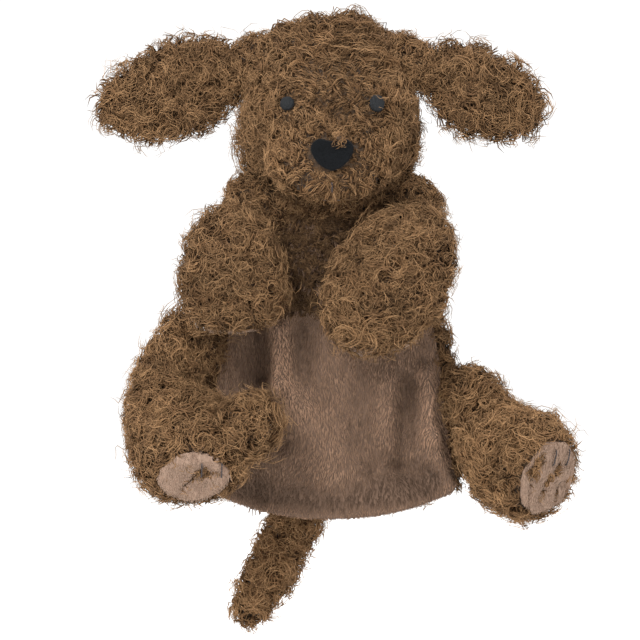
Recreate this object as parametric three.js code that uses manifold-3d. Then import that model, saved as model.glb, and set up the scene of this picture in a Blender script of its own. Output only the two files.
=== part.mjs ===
// A plush dog hand puppet: a glove-shaped body open at the hem, a stuffed head that
// takes a finger, flat ears, stuffed arms and legs, and a tail.
// Millimetres, +Z up, the puppet faces -Y. The origin is the middle of the hand opening.
import * as THREE from 'three';
import { mergeVertices } from 'three/addons/utils/BufferGeometryUtils.js';
import Module from 'manifold-3d';

const wasm = await Module();
wasm.setup();

// ---- driving dimensions ----
const GAP = 0.3; // room left between two sewn pieces
const PLUSH = 4; // thickness of a curly or short plush panel on body and head
const SKIN = 3; // thickness of a limb's plush
const HEM_TURN = 18; // how far the hem is turned up inside
const HEM_THICK = 2;
const HEM_LOW = -2; // lowest point of the belly's curved hem
const HEM_RISE = 13; // how much higher the hem is at the side seams
const BODY_HALF_WIDTH = 60;
const NECK_TOP = 146.5;
const NECK_PIVOT = [0, 0, 150];
const CUFF_R = 15; // outside of the neck's gathered cuff
const CUFF_HALF_HEIGHT = 9;
const FINGER_R = 10.5; // hole for a finger
const SLEEVE_R = 13.5;
const SLEEVE_LOW = 166;
const SLEEVE_TOP = 216;
const HEAD_CLEAR_R = 27.5; // the head's neck hollow, clear of the collar
const JOINT_BALL_R = 8; // gathered root of an arm or a leg
const EYE_R = 3.4;
const EYE_SPREAD = 20.7;
const EYE_HEIGHT = 189;
const EYE_TURN = 0.42; // how far an eye faces outwards, in radians
const EYE_THICK = 1.8;
const NOSE_WIDE = 20;
const NOSE_HIGH = 16;
const TOE_STITCH = 7; // length of a toe stitch
const TOE_SPACING = 9;

// stations of the body: height, half width, half depth
const BODY = [
  [-24, 58, 18], [0, 59.5, 18.5], [25, BODY_HALF_WIDTH, 19.5], [50, 59, 20], [75, 55, 20.5],
  [95, 51, 20.5], [112, 44.5, 20], [124, 36.5, 19], [133, 28.5, 18], [141, 21.5, 17.3],
  [149, 18.8, 17],
];
// stations of the head: height, half width, half depth, middle of the depth
const HEAD = [
  [144, 35, 28, -4], [158, 39.5, 32, -4], [172, 41, 33, -3.5], [188, 40, 32, -2],
  [204, 37.5, 29.5, -0.5], [219, 34, 26, 0], [235, 28, 21, 1],
];
const MUZZLE = { at: [0, -27, 160], size: [28, 18, 19.5] };

// stations of ears, limbs and tail: x, y, z, half width, half thickness
const EARS = {
  left: [[-33, 3, 207, 15, 5], [-49, 2, 204, 19, 5.5], [-66, 0, 200, 22.5, 6.5],
    [-84, -2, 193, 22.5, 6.5], [-111.5, -3, 186, 19, 5.5]],
  right: [[31, 3, 209, 14, 5], [46, 2, 205, 17, 5.5], [60, 0, 200, 20.5, 6.5],
    [79, -1, 191.5, 20.5, 6.5], [101, -3, 184, 17, 5.5]],
};
const ARMS = {
  left: [[-44, -18, 141.5, 15, 10], [-46, -33, 123, 23, 15], [-45, -38, 103, 26, 16],
    [-44, -37, 83, 22, 14]],
  right: [[43, -18, 141.5, 14, 10], [34.5, -34, 122, 25, 15], [22, -39, 101, 27, 16],
    [4, -37, 78, 21, 13]],
};
const LEGS = {
  left: [[-67, -3, 98, 9, 9], [-73, -9, 74, 12.5, 13], [-76.5, -21, 50, 18.5, 20],
    [-64, -38, 30, 24, 29], [-55, -61, 22, 22, 28]],
  right: [[62, -1, 72, 10.5, 10], [66, -6.5, 54, 13.5, 14.5], [73, -12.5, 38, 19, 20],
    [88, -21, 23, 28, 26.5], [109.5, -35, 19, 25.5, 24.5]],
};
const LEG_ACROSS = { left: [0, -1, 0.6], right: [0, 0, 1] };
const SOLES = {
  left: { at: [-55, -52, 18], facing: [0.08, -0.82, -0.57] },
  right: { at: [101, -28, 21], facing: [0.66, -0.68, -0.3] },
};
const TAIL = [[-9, 28, 26, 8, 7], [-13, 28, 8, 11, 9], [-18, 27, -8, 11.5, 10],
  [-27, 25, -26, 12, 10], [-37, 23, -44, 10.5, 9], [-41, 22, -57, 8, 7]];
const SHOULDER_PIVOTS = { left: [-41, -13, 124], right: [41, -13, 124] };
const HIP_PIVOTS = { left: [-58, -2, 72], right: [60, -2, 56] };
const EAR_PIVOTS = { left: [-36, 3, 205], right: [35, 3, 206] };
// how each ear and leg can turn at its root: axis, then the angles in degrees that need room
const EAR_TURNS = { left: [[0, 1, 0], [-30, -20, -10, 10]], right: [[0, -1, 0], [-30, -20, -10, 10]] };
const LEG_SWINGS = { left: [[0, 0, -1], [-10, 0, 60]], right: [[0, 0, 1], [-30, 0, 15]] };
const LEG_LIFTS = { left: [[-1, 0, 0], [-10, 0, 35]], right: [[-0.55, -0.83, 0], [-10, 0, 35]] };
const SIDES = ['left', 'right'];

// ---- materials ----
const finish = (color, roughness = 1) =>
  new THREE.MeshStandardMaterial({ color, roughness, metalness: 0 });
const curly = finish(0x7b6148);
const plush = finish(0x78645a);
const palm = finish(0xa58e80);
const filling = finish(0xe9e5dc);
const felt = finish(0x171c24, 0.9);
const thread = finish(0x20242a, 0.7);
const lining = finish(0x6a574b);

// ---- shape helpers ----
const vec = (list) => new THREE.Vector3(...list);

// A closed mesh as a solid: shared corners joined, folded triangles left out, faces out.
function solid(geometry) {
  const bare = geometry.clone();
  bare.deleteAttribute('normal');
  bare.deleteAttribute('uv');
  const merged = mergeVertices(bare, 1e-3);
  const at = merged.attributes.position;
  const corner = (i) => new THREE.Vector3().fromBufferAttribute(at, i);
  const faces = [];
  let volume = 0;
  for (let i = 0; i < merged.index.count; i += 3) {
    const [a, b, c] = [0, 1, 2].map((k) => merged.index.getX(i + k));
    if (a === b || b === c || c === a) continue;
    faces.push([a, b, c]);
    volume += corner(a).dot(corner(b).cross(corner(c)));
  }
  const triVerts = new Uint32Array(faces.flatMap(([a, b, c]) => (volume < 0 ? [a, c, b] : [a, b, c])));
  const vertProperties = new Float32Array(at.array);
  return new wasm.Manifold(new wasm.Mesh({ numProp: 3, vertProperties, triVerts }));
}

// A rounded form along a row of stations [x, y, z, half width, half thickness].
// across says which way its width lies. inset makes the same form smaller all round.
function form(stations, { across, inset = 0, rings = 8, sides = 14, flat = false, blunt = 3.2 }) {
  const middle = new THREE.CatmullRomCurve3(stations.map((s) => vec(s.slice(0, 3))));
  const sizes = new THREE.CatmullRomCurve3(stations.map((s) => new THREE.Vector3(s[3], s[4], 0)));
  const trim = flat ? 0 : inset / middle.getLength();
  const profile = Array.from({ length: rings + 2 }, (_, k) =>
    new THREE.Vector2(k === 0 || k === rings + 1 ? 0 : 1, k));
  const geometry = new THREE.LatheGeometry(profile, sides);
  const at = geometry.attributes.position;
  for (let i = 0; i < at.count; i++) {
    const ring = Math.round(at.getY(i));
    const part = flat
      ? THREE.MathUtils.clamp((ring - 1) / (rings - 1), 0, 1)
      : (1 - Math.cos((Math.PI * ring) / (rings + 1))) / 2;
    const wanted = trim + part * (1 - 2 * trim);
    const t = THREE.MathUtils.clamp(wanted, 0, 1);
    const round = flat ? 1 : (1 - Math.abs(2 * part - 1) ** blunt) ** (1 / blunt);
    const size = sizes.getPoint(t);
    const along = middle.getTangent(t);
    const side = vec(across).addScaledVector(along, -along.dot(vec(across))).normalize();
    const up = along.clone().cross(side);
    const p = middle.getPoint(t)
      .addScaledVector(along, (wanted - t) * middle.getLength())
      .addScaledVector(side, at.getX(i) * round * (size.x - inset))
      .addScaledVector(up, at.getZ(i) * round * (size.y - inset));
    at.setXYZ(i, p.x, p.y, p.z);
  }
  return solid(geometry);
}

// A box between two corners.
function block(low, high) {
  const size = vec(high).sub(vec(low));
  const middle = vec(high).add(vec(low)).multiplyScalar(0.5);
  return solid(new THREE.BoxGeometry(size.x, size.y, size.z).translate(middle.x, middle.y, middle.z));
}

const ball = (centre, r, sides = 14) =>
  solid(new THREE.SphereGeometry(r, sides, Math.round(sides / 2)).rotateX(Math.PI / 2)
    .translate(...centre));

// A thick slab whose near face passes through a point and whose bulk lies beyond it.
function beyond(point, facing, depth = 90) {
  const turn = new THREE.Quaternion().setFromUnitVectors(new THREE.Vector3(0, 0, 1), vec(facing).normalize());
  const geometry = new THREE.BoxGeometry(600, 600, depth).translate(0, 0, depth / 2)
    .applyQuaternion(turn).translate(...point);
  return solid(geometry);
}

// An outline in the XZ plane, pushed through from one depth to another.
function through(outline, front, back) {
  const shape = new THREE.Shape(outline.map(([x, z]) => new THREE.Vector2(x, z)));
  const geometry = new THREE.ExtrudeGeometry(shape, { depth: back - front, bevelEnabled: false });
  return solid(geometry.rotateX(Math.PI / 2).translate(0, back, 0));
}

const turned = (points, sides = 18) =>
  solid(new THREE.LatheGeometry(points.map(([r, z]) => new THREE.Vector2(r, z)), sides)
    .rotateX(Math.PI / 2));

// The turn by an angle in degrees about an axis through a point.
function turnAbout(pivot, axis, degrees) {
  const angle = THREE.MathUtils.degToRad(degrees);
  return new THREE.Matrix4().makeTranslation(...pivot)
    .multiply(new THREE.Matrix4().makeRotationAxis(vec(axis).normalize(), angle))
    .multiply(new THREE.Matrix4().makeTranslation(...pivot.map((x) => -x)));
}

// A piece with room cut into it, so that it stays clear of what stands still at each turn.
const roomToTurn = (piece, still, turns) => turns.reduce(
  (rest, turn) => rest.subtract(still.transform(turn.clone().invert().elements)), piece);

const pieces = new THREE.Group();

// Adds one solid to the puppet under its own name.
function add(name, body, material) {
  const { vertProperties, triVerts } = body.getMesh();
  const geometry = new THREE.BufferGeometry();
  geometry.setAttribute('position', new THREE.BufferAttribute(vertProperties, 3));
  geometry.setIndex(new THREE.BufferAttribute(triVerts, 1));
  const mesh = new THREE.Mesh(geometry, material);
  mesh.name = name;
  pieces.add(mesh);
}

// ---- body: a glove of two panels with turned hems ----
const bodyForm = (inset) =>
  form(BODY.map(([z, wide, deep]) => [0, 0, z, wide, deep]),
    { across: [1, 0, 0], inset, rings: 11, sides: 24, flat: true });
const hemHeight = (x, extra) => HEM_LOW + extra + HEM_RISE * (Math.abs(x) / BODY_HALF_WIDTH) ** 2.2;

// Everything lower than the curved hem, with a straight stretch in the middle.
function belowHem(extra, straight = 0) {
  const line = [];
  for (let x = -80; x <= 80; x += 8) {
    line.push([x, Math.abs(x) <= straight ? HEM_LOW + extra : hemHeight(x, extra)]);
  }
  return through([...line, [80, -60], [-80, -60]], -70, 70);
}

// The front region that the belly panel fills, smaller by an inset.
function bellyRegion(inset) {
  const half = [[-40, 57], [20, 56.5], [60, 53], [85, 48], [105, 43], [122, 33], [134, 24], [139, 19]];
  const right = half.map(([z, x]) => [x - inset, z === 139 ? z - inset : z]);
  const left = right.map(([x, z]) => [-x, z]).reverse();
  return through([...right, ...left], -70, -inset);
}

const sockets = SIDES.flatMap((side) => [
  ball(SHOULDER_PIVOTS[side], JOINT_BALL_R + 0.4), ball(HIP_PIVOTS[side], JOINT_BALL_R + 0.4)]);
const aboveNeck = block([-60, -60, NECK_TOP], [60, 60, 190]);
const neckBall = ball(NECK_PIVOT, CUFF_R + 0.4, 22);
const glove = [aboveNeck, neckBall, ...sockets].reduce(
  (rest, cut) => rest.subtract(cut), bodyForm(0).subtract(bodyForm(PLUSH)));
const turnUp = bodyForm(PLUSH + GAP).subtract(bodyForm(PLUSH + GAP + HEM_THICK))
  .subtract(block([-90, -60, HEM_TURN], [90, 60, 190]));
const backHem = belowHem(3, 24);

add('belly_panel', glove.intersect(bellyRegion(GAP)).subtract(belowHem(0)), plush);
add('back_panel', glove.subtract(bellyRegion(0)).subtract(backHem), curly);
add('belly_hem_facing', turnUp.intersect(bellyRegion(GAP)).subtract(belowHem(0.4)), lining);
add('back_hem_facing', turnUp.subtract(bellyRegion(0)).subtract(belowHem(3.4)), lining);

// ---- neck: a gathered cuff and the finger sleeve inside the head ----
const finger = turned([[0, 120], [FINGER_R, 120], [FINGER_R, SLEEVE_TOP - 3], [0, SLEEVE_TOP - 3]]);
const cuffBand = block([-40, -40, NECK_PIVOT[2] - CUFF_HALF_HEIGHT],
  [40, 40, NECK_PIVOT[2] + CUFF_HALF_HEIGHT]);
add('neck_cuff', ball(NECK_PIVOT, CUFF_R, 22).intersect(cuffBand).subtract(finger), lining);
const sleeve = (r, low, high) => turned([[0, low], [r, low], [r, high], [0, high]]);
add('finger_sleeve', sleeve(SLEEVE_R, SLEEVE_LOW, SLEEVE_TOP).subtract(finger), lining);

// ---- head: two curly panels round a stuffing that the sleeve runs into ----
function headForm(inset, neckRoom) {
  const skull = form(HEAD.map(([z, wide, deep, y]) => [0, y, z, wide, deep]),
    { across: [1, 0, 0], inset, rings: 10, sides: 20 });
  const [a, b, c] = MUZZLE.size.map((size) => size - inset);
  const muzzle = solid(new THREE.SphereGeometry(1, 18, 10).rotateX(Math.PI / 2)
    .scale(a, b, c).translate(...MUZZLE.at));
  return skull.add(muzzle).subtract(ball(NECK_PIVOT, neckRoom, 18));
}
const headShell = headForm(0, HEAD_CLEAR_R).subtract(headForm(PLUSH, HEAD_CLEAR_R - PLUSH - 1));
const frontHalf = block([-90, -90, 100], [90, -GAP / 2, 260]);
const backHalf = block([-90, GAP / 2, 100], [90, 90, 260]);
add('head_face_panel', headShell.intersect(frontHalf), curly);
add('head_back_panel', headShell.intersect(backHalf), curly);
add('head_stuffing', headForm(PLUSH + GAP, HEAD_CLEAR_R)
  .subtract(sleeve(SLEEVE_R + GAP, NECK_PIVOT[2], SLEEVE_TOP + GAP)), filling);

const faceSurface = headForm(-GAP, 1);

// The nose is a rounded shield of felt that follows the muzzle.
const noseOutline = new THREE.SplineCurve([
  [0, -0.5], [0.26, -0.36], [0.46, -0.05], [0.5, 0.24], [0.32, 0.46], [0.08, 0.4],
  [-0.08, 0.4], [-0.32, 0.46], [-0.5, 0.24], [-0.46, -0.05], [-0.26, -0.36], [0, -0.5],
].map(([x, z]) => new THREE.Vector2(x * NOSE_WIDE, z * NOSE_HIGH + 165))).getPoints(28).slice(0, -1);
add('nose_patch', through(noseOutline.map((p) => [p.x, p.y]), -48.2, -36).subtract(faceSurface), felt);

for (const [side, sign] of [['left', -1], ['right', 1]]) {
  const eye = new THREE.CylinderGeometry(EYE_R, EYE_R, 9, 16).scale(1, 1, 1.12)
    .rotateZ(sign * EYE_TURN).translate(sign * EYE_SPREAD, -31, EYE_HEIGHT);
  add(`eye_${side}`, solid(eye).subtract(faceSurface)
    .intersect(headForm(-GAP - EYE_THICK, 1)), felt);
}
const mouth = new THREE.CapsuleGeometry(1.1, 5, 4, 10).rotateX(Math.PI / 2 - 0.45)
  .translate(0, -43.2, 150.6);
add('mouth_stitch', solid(mouth).subtract(faceSurface), thread);

// ---- ears: two flat curly leaves each, sewn to the side of the head ----
const headRoom = headForm(-0.5, 1);
for (const side of SIDES) {
  const [axis, angles] = EAR_TURNS[side];
  const whole = form(EARS[side], { across: [0, 0, 1], rings: 8, sides: 16, blunt: 2.5 });
  const leaf = roomToTurn(whole.subtract(headRoom), headRoom,
    angles.map((angle) => turnAbout(EAR_PIVOTS[side], axis, angle)));
  const middle = EARS[side][0][1];
  const split = (y, sign) => beyond([EARS[side][0][0], y, 0], [0, sign, 0]);
  add(`ear_${side}_front`, leaf.intersect(split(middle - 2.4, -1)), curly);
  add(`ear_${side}_back`, leaf.intersect(split(middle - 2.1, 1)), curly);
}

// ---- arms: curly outside, pale palm underneath, stuffed ----
const bodyRoom = bodyForm(-0.6);
for (const side of SIDES) {
  const root = ball(SHOULDER_PIVOTS[side], JOINT_BALL_R + 0.4);
  const arm = (inset) => form(ARMS[side], { across: [1, 0, 0], inset })
    .subtract(bodyRoom);
  const [x, y, z] = ARMS[side][3];
  const palmCut = beyond([x, y + 3, z + 10], [0, 0.72, -0.7]);
  const outer = arm(0).subtract(root);
  const shell = outer.subtract(form(ARMS[side], { across: [1, 0, 0], inset: SKIN }));
  add(`shoulder_${side}`, ball(SHOULDER_PIVOTS[side], JOINT_BALL_R), lining);
  add(`arm_${side}_fur`, shell.subtract(palmCut), curly);
  add(`arm_${side}_palm`, shell.intersect(beyond([x, y + 3.22, z + 9.79], [0, 0.72, -0.7])), palm);
  add(`arm_${side}_stuffing`, arm(SKIN + GAP).subtract(root), filling);
}

// ---- legs: curly outside, pale sole across the end, stuffed ----
for (const side of SIDES) {
  const { at, facing } = SOLES[side];
  const out = vec(facing).normalize();
  const step = (distance) => vec(at).addScaledVector(out, distance).toArray();
  const root = ball(HIP_PIVOTS[side], JOINT_BALL_R + 0.4);
  const turns = LEG_SWINGS[side][1].flatMap((swing) => LEG_LIFTS[side][1].map((lift) =>
    turnAbout(HIP_PIVOTS[side], LEG_SWINGS[side][0], swing)
      .multiply(turnAbout(HIP_PIVOTS[side], LEG_LIFTS[side][0], lift))));
  const leg = (inset) => form(LEGS[side], { across: LEG_ACROSS[side], inset, rings: 9 });
  const outer = roomToTurn(leg(0), bodyRoom, turns).subtract(root);
  const inner = leg(SKIN);
  add(`hip_${side}`, ball(HIP_PIVOTS[side], JOINT_BALL_R), lining);
  add(`leg_${side}_fur`, outer.subtract(inner).subtract(beyond(at, facing)), curly);
  add(`leg_${side}_sole`, outer.intersect(beyond(step(GAP), facing)).subtract(
    beyond(step(GAP + SKIN), facing)), palm);
  add(`leg_${side}_stuffing`, roomToTurn(leg(SKIN + GAP), bodyRoom, turns).subtract(root)
    .subtract(beyond(step(0), facing)), filling);
  // two toe stitches that draw the sole in at its upper edge
  const across = new THREE.Vector3(0, 0, 1).cross(out).normalize();
  const upward = out.clone().cross(across).normalize();
  for (const [name, shift] of [['inner', -TOE_SPACING / 2], ['outer', TOE_SPACING / 2]]) {
    const stitch = new THREE.CapsuleGeometry(0.7, TOE_STITCH, 3, 8).applyQuaternion(
      new THREE.Quaternion().setFromUnitVectors(new THREE.Vector3(0, 1, 0), upward));
    const place = vec(step(GAP + SKIN + 1.1)).addScaledVector(across, shift).addScaledVector(upward, 7);
    add(`leg_${side}_toe_${name}`, solid(stitch.translate(...place.toArray())), thread);
  }
}

// ---- tail: a tapering curly tube with its stuffing, sewn on above the back hem ----
const tail = (inset) => form(TAIL, { across: [1, 0, 0], inset, rings: 9, sides: 12 })
  .subtract(bodyRoom);
const tailEnd = beyond([-11, 27, 19], [0.1, 0, 1]);
add('tail_fur', tail(0).subtract(tail(SKIN)).subtract(tailEnd), curly);
add('tail_stuffing', tail(SKIN + GAP).subtract(beyond([-11, 27, 19.5], [0.1, 0, 1])), filling);

export default pieces;
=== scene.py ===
"""A plush dog hand puppet: curly fur, a short-pile belly, felt nose and stitched eyes.

Every size is in metres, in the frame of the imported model: +Z up, the puppet faces -Y,
and the origin is the middle of the hand opening.
"""
import logging
import math
from dataclasses import dataclass, field
from enum import Enum
from typing import Callable, Iterable, Sequence

import bmesh
import bpy
import numpy as np
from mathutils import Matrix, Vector
from mathutils.bvhtree import BVHTree
from mathutils.kdtree import KDTree


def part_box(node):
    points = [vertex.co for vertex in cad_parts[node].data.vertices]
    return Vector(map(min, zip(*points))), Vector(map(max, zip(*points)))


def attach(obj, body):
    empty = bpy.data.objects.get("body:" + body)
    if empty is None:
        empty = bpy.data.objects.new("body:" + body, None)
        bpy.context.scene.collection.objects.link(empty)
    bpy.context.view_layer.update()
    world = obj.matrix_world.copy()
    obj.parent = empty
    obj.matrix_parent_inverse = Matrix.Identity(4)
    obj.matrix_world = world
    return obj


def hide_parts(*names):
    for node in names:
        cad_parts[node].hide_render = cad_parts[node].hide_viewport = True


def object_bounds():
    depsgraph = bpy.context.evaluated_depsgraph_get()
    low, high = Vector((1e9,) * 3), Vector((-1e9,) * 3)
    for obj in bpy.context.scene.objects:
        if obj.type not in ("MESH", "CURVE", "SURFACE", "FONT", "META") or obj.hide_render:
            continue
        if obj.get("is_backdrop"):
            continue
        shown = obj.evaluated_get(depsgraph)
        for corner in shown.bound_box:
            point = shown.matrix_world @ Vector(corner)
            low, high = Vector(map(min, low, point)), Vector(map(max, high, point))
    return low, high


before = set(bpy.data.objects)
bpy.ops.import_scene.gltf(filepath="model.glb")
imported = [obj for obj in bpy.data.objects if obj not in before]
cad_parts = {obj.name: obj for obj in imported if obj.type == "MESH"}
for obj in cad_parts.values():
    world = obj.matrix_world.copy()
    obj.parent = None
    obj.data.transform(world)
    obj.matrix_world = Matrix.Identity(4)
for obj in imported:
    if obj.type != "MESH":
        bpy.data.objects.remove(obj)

LOG = logging.getLogger("puppet")
MM = 0.001
CHART = "OFBake"
MOST_FACES = 185_000
BARE = 0.02
SHADES = (0.06, 0.94)
TUFT_WAVES = 62.0
SHADE_WAVES = 28.0
PUFF_FRAMES = 12
TO_THE_TOP = -1.0

Array = np.ndarray
Triple = tuple[float, float, float]
Stops = Sequence[tuple[float, Sequence[float]]]
AtRoots = Callable[[Array, Array], Array]
AtPoints = Callable[[Array], Array]


class Side(Enum):
    """The two sides of the puppet as seen from the front."""

    LEFT = "left"
    RIGHT = "right"

    @property
    def sign(self) -> int:
        """-1 on the left and 1 on the right."""
        return -1 if self is Side.LEFT else 1


# ---------------------------------------------------------------- shader helpers


class Sock:
    """A shader socket that takes part in plain arithmetic through Math nodes."""

    def __init__(self, maker: "Maker", socket: bpy.types.NodeSocket) -> None:
        """Wraps a socket.

        Args:
            maker: The material maker that owns the node tree.
            socket: The output socket.
        """
        self.maker = maker
        self.socket = socket

    def _math(self, operation: str, *values: "Sock | float") -> "Sock":
        """One Math node.

        Args:
            operation: The node's operation.
            values: Its inputs in order.

        Returns:
            The node's output.
        """
        return self.maker.node("ShaderNodeMath", {"operation": operation}, dict(enumerate(values)))

    def __add__(self, other: "Sock | float") -> "Sock":
        """self + other."""
        return self._math("ADD", self, other)

    def __mul__(self, other: "Sock | float") -> "Sock":
        """self * other."""
        return self._math("MULTIPLY", self, other)

    def clamp(self) -> "Sock":
        """The value held between 0 and 1."""
        return self.maker.node("ShaderNodeClamp", {}, {"Value": self})


class Maker:
    """Builds one material's nodes."""

    def __init__(self, name: str) -> None:
        """Starts an empty material.

        Args:
            name: The material's name.
        """
        self.material = bpy.data.materials.new(name)
        self.material.use_nodes = True
        self.tree = self.material.node_tree
        self.tree.nodes.clear()

    def node(
        self,
        kind: str,
        settings: dict[str, object] | None = None,
        inputs: dict[str | int, object] | None = None,
        output: str | int = 0,
    ) -> Sock:
        """Adds any node.

        Args:
            kind: The node's type.
            settings: Its settings, set first; "stops" fills a colour ramp.
            inputs: Values or links of its sockets, by name or place.
            output: Which output to hand back.

        Returns:
            The chosen output.
        """
        made = self.tree.nodes.new(kind)
        for key, value in (settings or {}).items():
            if key == "stops":
                self._stops(made.color_ramp, value)
            else:
                setattr(made, key, value)
        for key, value in (inputs or {}).items():
            target = made.inputs[key]
            if isinstance(value, Sock):
                self.tree.links.new(value.socket, target)
            else:
                target.default_value = value
        return Sock(self, made.outputs[output])

    @staticmethod
    def _stops(ramp: bpy.types.ColorRamp, stops: Stops) -> None:
        """Fills a colour ramp.

        Args:
            ramp: The ramp.
            stops: Pairs of place and colour, in order.
        """
        while len(ramp.elements) < len(stops):
            ramp.elements.new(1.0)
        for element, (place, colour) in zip(ramp.elements, stops):
            element.position = place
            element.color = (*colour, 1.0)

    def ramp(self, value: Sock, stops: Stops) -> Sock:
        """A colour ramp over a value.

        Args:
            value: What runs along the ramp.
            stops: Pairs of place and colour.

        Returns:
            The colour.
        """
        return self.node("ShaderNodeValToRGB", {"stops": stops}, {0: value})

    def mix(self, factor: Sock | float, a: object, b: object, blend: str = "MIX") -> Sock:
        """Mixes two colours.

        Args:
            factor: How much of the second one.
            a: The first colour.
            b: The second colour.
            blend: The blend type.

        Returns:
            The mixed colour.
        """
        return self.node(
            "ShaderNodeMix", {"data_type": "RGBA", "blend_type": blend}, {0: factor, 6: a, 7: b}, 2
        )

    def noise(self, scale: float, detail: float = 2.0, where: Sock | None = None) -> Sock:
        """Noise over the object's own space.

        Args:
            scale: Cells to the metre.
            detail: How many finer layers.
            where: A vector to use in place of the object's space.

        Returns:
            A value from 0 to 1.
        """
        at = where or self.node("ShaderNodeTexCoord", output="Object")
        return self.node("ShaderNodeTexNoise", {}, {"Vector": at, "Scale": scale, "Detail": detail})

    def stretched(self, factors: Sequence[float]) -> Sock:
        """The object's space stretched along its axes.

        Args:
            factors: How much along x, y and z.

        Returns:
            The stretched vector.
        """
        at = self.node("ShaderNodeTexCoord", output="Object")
        return self.node("ShaderNodeVectorMath", {"operation": "MULTIPLY"}, {0: at, 1: factors})

    def surface(
        self,
        colour: Sock | Sequence[float],
        roughness: Sock | float,
        bump: Sock | None = None,
        depth: float = 0.0,
        sheen: float = 0.0,
        sheen_tint: Sequence[float] = (1.0, 1.0, 1.0),
        specular: float = 0.3,
    ) -> bpy.types.Material:
        """Closes the material with one Principled shader.

        Args:
            colour: Base colour.
            roughness: Roughness.
            bump: Height that bends the normal.
            depth: The bump's depth in metres.
            sheen: Weight of the fuzz layer.
            sheen_tint: Colour of the fuzz layer.
            specular: Specular level.

        Returns:
            The finished material.
        """
        inputs: dict[str | int, object] = {
            "Base Color": colour if isinstance(colour, Sock) else (*colour, 1.0),
            "Roughness": roughness,
            "Sheen Weight": sheen,
            "Sheen Roughness": 0.45,
            "Sheen Tint": (*sheen_tint, 1.0),
            "Specular IOR Level": specular,
        }
        if bump is not None:
            inputs["Normal"] = self.node(
                "ShaderNodeBump", {}, {"Height": bump, "Distance": depth, "Strength": 1.0}
            )
        shader = self.node("ShaderNodeBsdfPrincipled", {}, inputs)
        out = self.tree.nodes.new("ShaderNodeOutputMaterial")
        self.tree.links.new(shader.socket, out.inputs["Surface"])
        return self.material


# ---------------------------------------------------------------- finishes


@dataclass(frozen=True)
class FibreFinish:
    """Fibres coloured along their length and from one fibre to the next."""

    name: str
    root: Triple
    body: Triple
    tip: Triple
    dark: float = 0.55
    light: float = 1.45
    roughness: float = 0.8
    sheen: float = 0.25

    def make(self) -> bpy.types.Material:
        """The material, read from the fibre chart: across is shade, up is root to tip."""
        m = Maker(self.name)
        chart = m.node("ShaderNodeUVMap", {"uv_map": CHART})
        parts = m.node("ShaderNodeSeparateXYZ", {}, {0: chart})
        along = Sock(m, parts.socket.node.outputs[1])
        colour = m.ramp(along, [(0.0, self.root), (0.45, self.body), (1.0, self.tip)])
        shade = m.ramp(parts, [(0.0, (self.dark,) * 3), (1.0, (self.light,) * 3)])
        tinted = m.mix(1.0, colour, shade, "MULTIPLY")
        return m.surface(
            tinted, self.roughness, sheen=self.sheen, sheen_tint=self.tip, specular=0.12
        )


@dataclass(frozen=True)
class TwoTone:
    """A finish that runs between a darker and a lighter colour."""

    name: str
    low: Triple
    high: Triple


@dataclass(frozen=True)
class GroundFinish(TwoTone):
    """The knitted ground cloth that fur grows from, dark because it lies in its shade."""

    cell: float = 420.0

    def make(self) -> bpy.types.Material:
        """The material: mottled colour with a felted bump."""
        m = Maker(self.name)
        mottle = m.noise(self.cell, 4.0)
        fine = m.noise(self.cell * 4, 2.0)
        colour = m.ramp(mottle, [(0.3, self.low), (0.7, self.high)])
        return m.surface(colour, 0.95, bump=mottle * 0.7 + fine * 0.3, depth=1.2 * MM, sheen=0.2)


@dataclass(frozen=True)
class PlushFinish(TwoTone):
    """Short brushed plush: streaks that run down with the nap, and a soft sheen."""

    sheen: float = 0.5

    def make(self) -> bpy.types.Material:
        """The material: stretched streaks over slow patches of brushed pile."""
        m = Maker(self.name)
        streaks = m.noise(700.0, 3.0, m.stretched((1.0, 1.0, 0.28)))
        patches = m.noise(45.0, 2.0)
        value = (streaks * 0.7 + patches * 0.3).clamp()
        colour = m.ramp(value, [(0.32, self.low), (0.68, self.high)])
        return m.surface(
            colour, 0.9, bump=streaks, depth=0.9 * MM, sheen=self.sheen, sheen_tint=self.high
        )


@dataclass(frozen=True)
class FeltFinish(TwoTone):
    """Dense dark wool felt."""

    def make(self) -> bpy.types.Material:
        """The material: tangled fine fibres in colour and bump."""
        m = Maker(self.name)
        tangle = m.noise(1500.0, 5.0)
        patch = m.noise(260.0, 2.0)
        colour = m.ramp((tangle * 0.6 + patch * 0.4).clamp(), [(0.35, self.low), (0.7, self.high)])
        return m.surface(colour, 0.9, bump=tangle, depth=0.35 * MM, sheen=0.02, specular=0.15)


@dataclass(frozen=True)
class ThreadFinish(TwoTone):
    """Twisted embroidery thread with a slight shine."""

    def make(self) -> bpy.types.Material:
        """The material: fine ply lines in colour and bump."""
        m = Maker(self.name)
        ply = m.noise(3200.0, 2.0, m.stretched((1.0, 1.0, 0.35)))
        colour = m.ramp(ply, [(0.35, self.low), (0.65, self.high)])
        return m.surface(colour, 0.6, bump=ply, depth=0.12 * MM, specular=0.25)


@dataclass(frozen=True)
class WeaveFinish(TwoTone):
    """Plain woven lining cloth."""

    threads: float = 1400.0

    def make(self) -> bpy.types.Material:
        """The material: two crossed bands of threads in colour and bump."""
        m = Maker(self.name)
        at = m.node("ShaderNodeTexCoord", output="Object")
        bands = [
            m.node(
                "ShaderNodeTexWave",
                {"bands_direction": way},
                {"Vector": at, "Scale": self.threads / 6.28, "Distortion": 0.6},
            )
            for way in ("X", "Z")
        ]
        weave = bands[0] * 0.5 + bands[1] * 0.5
        colour = m.ramp(weave, [(0.2, self.low), (0.8, self.high)])
        return m.surface(colour, 0.9, bump=weave, depth=0.25 * MM, sheen=0.15)


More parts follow.
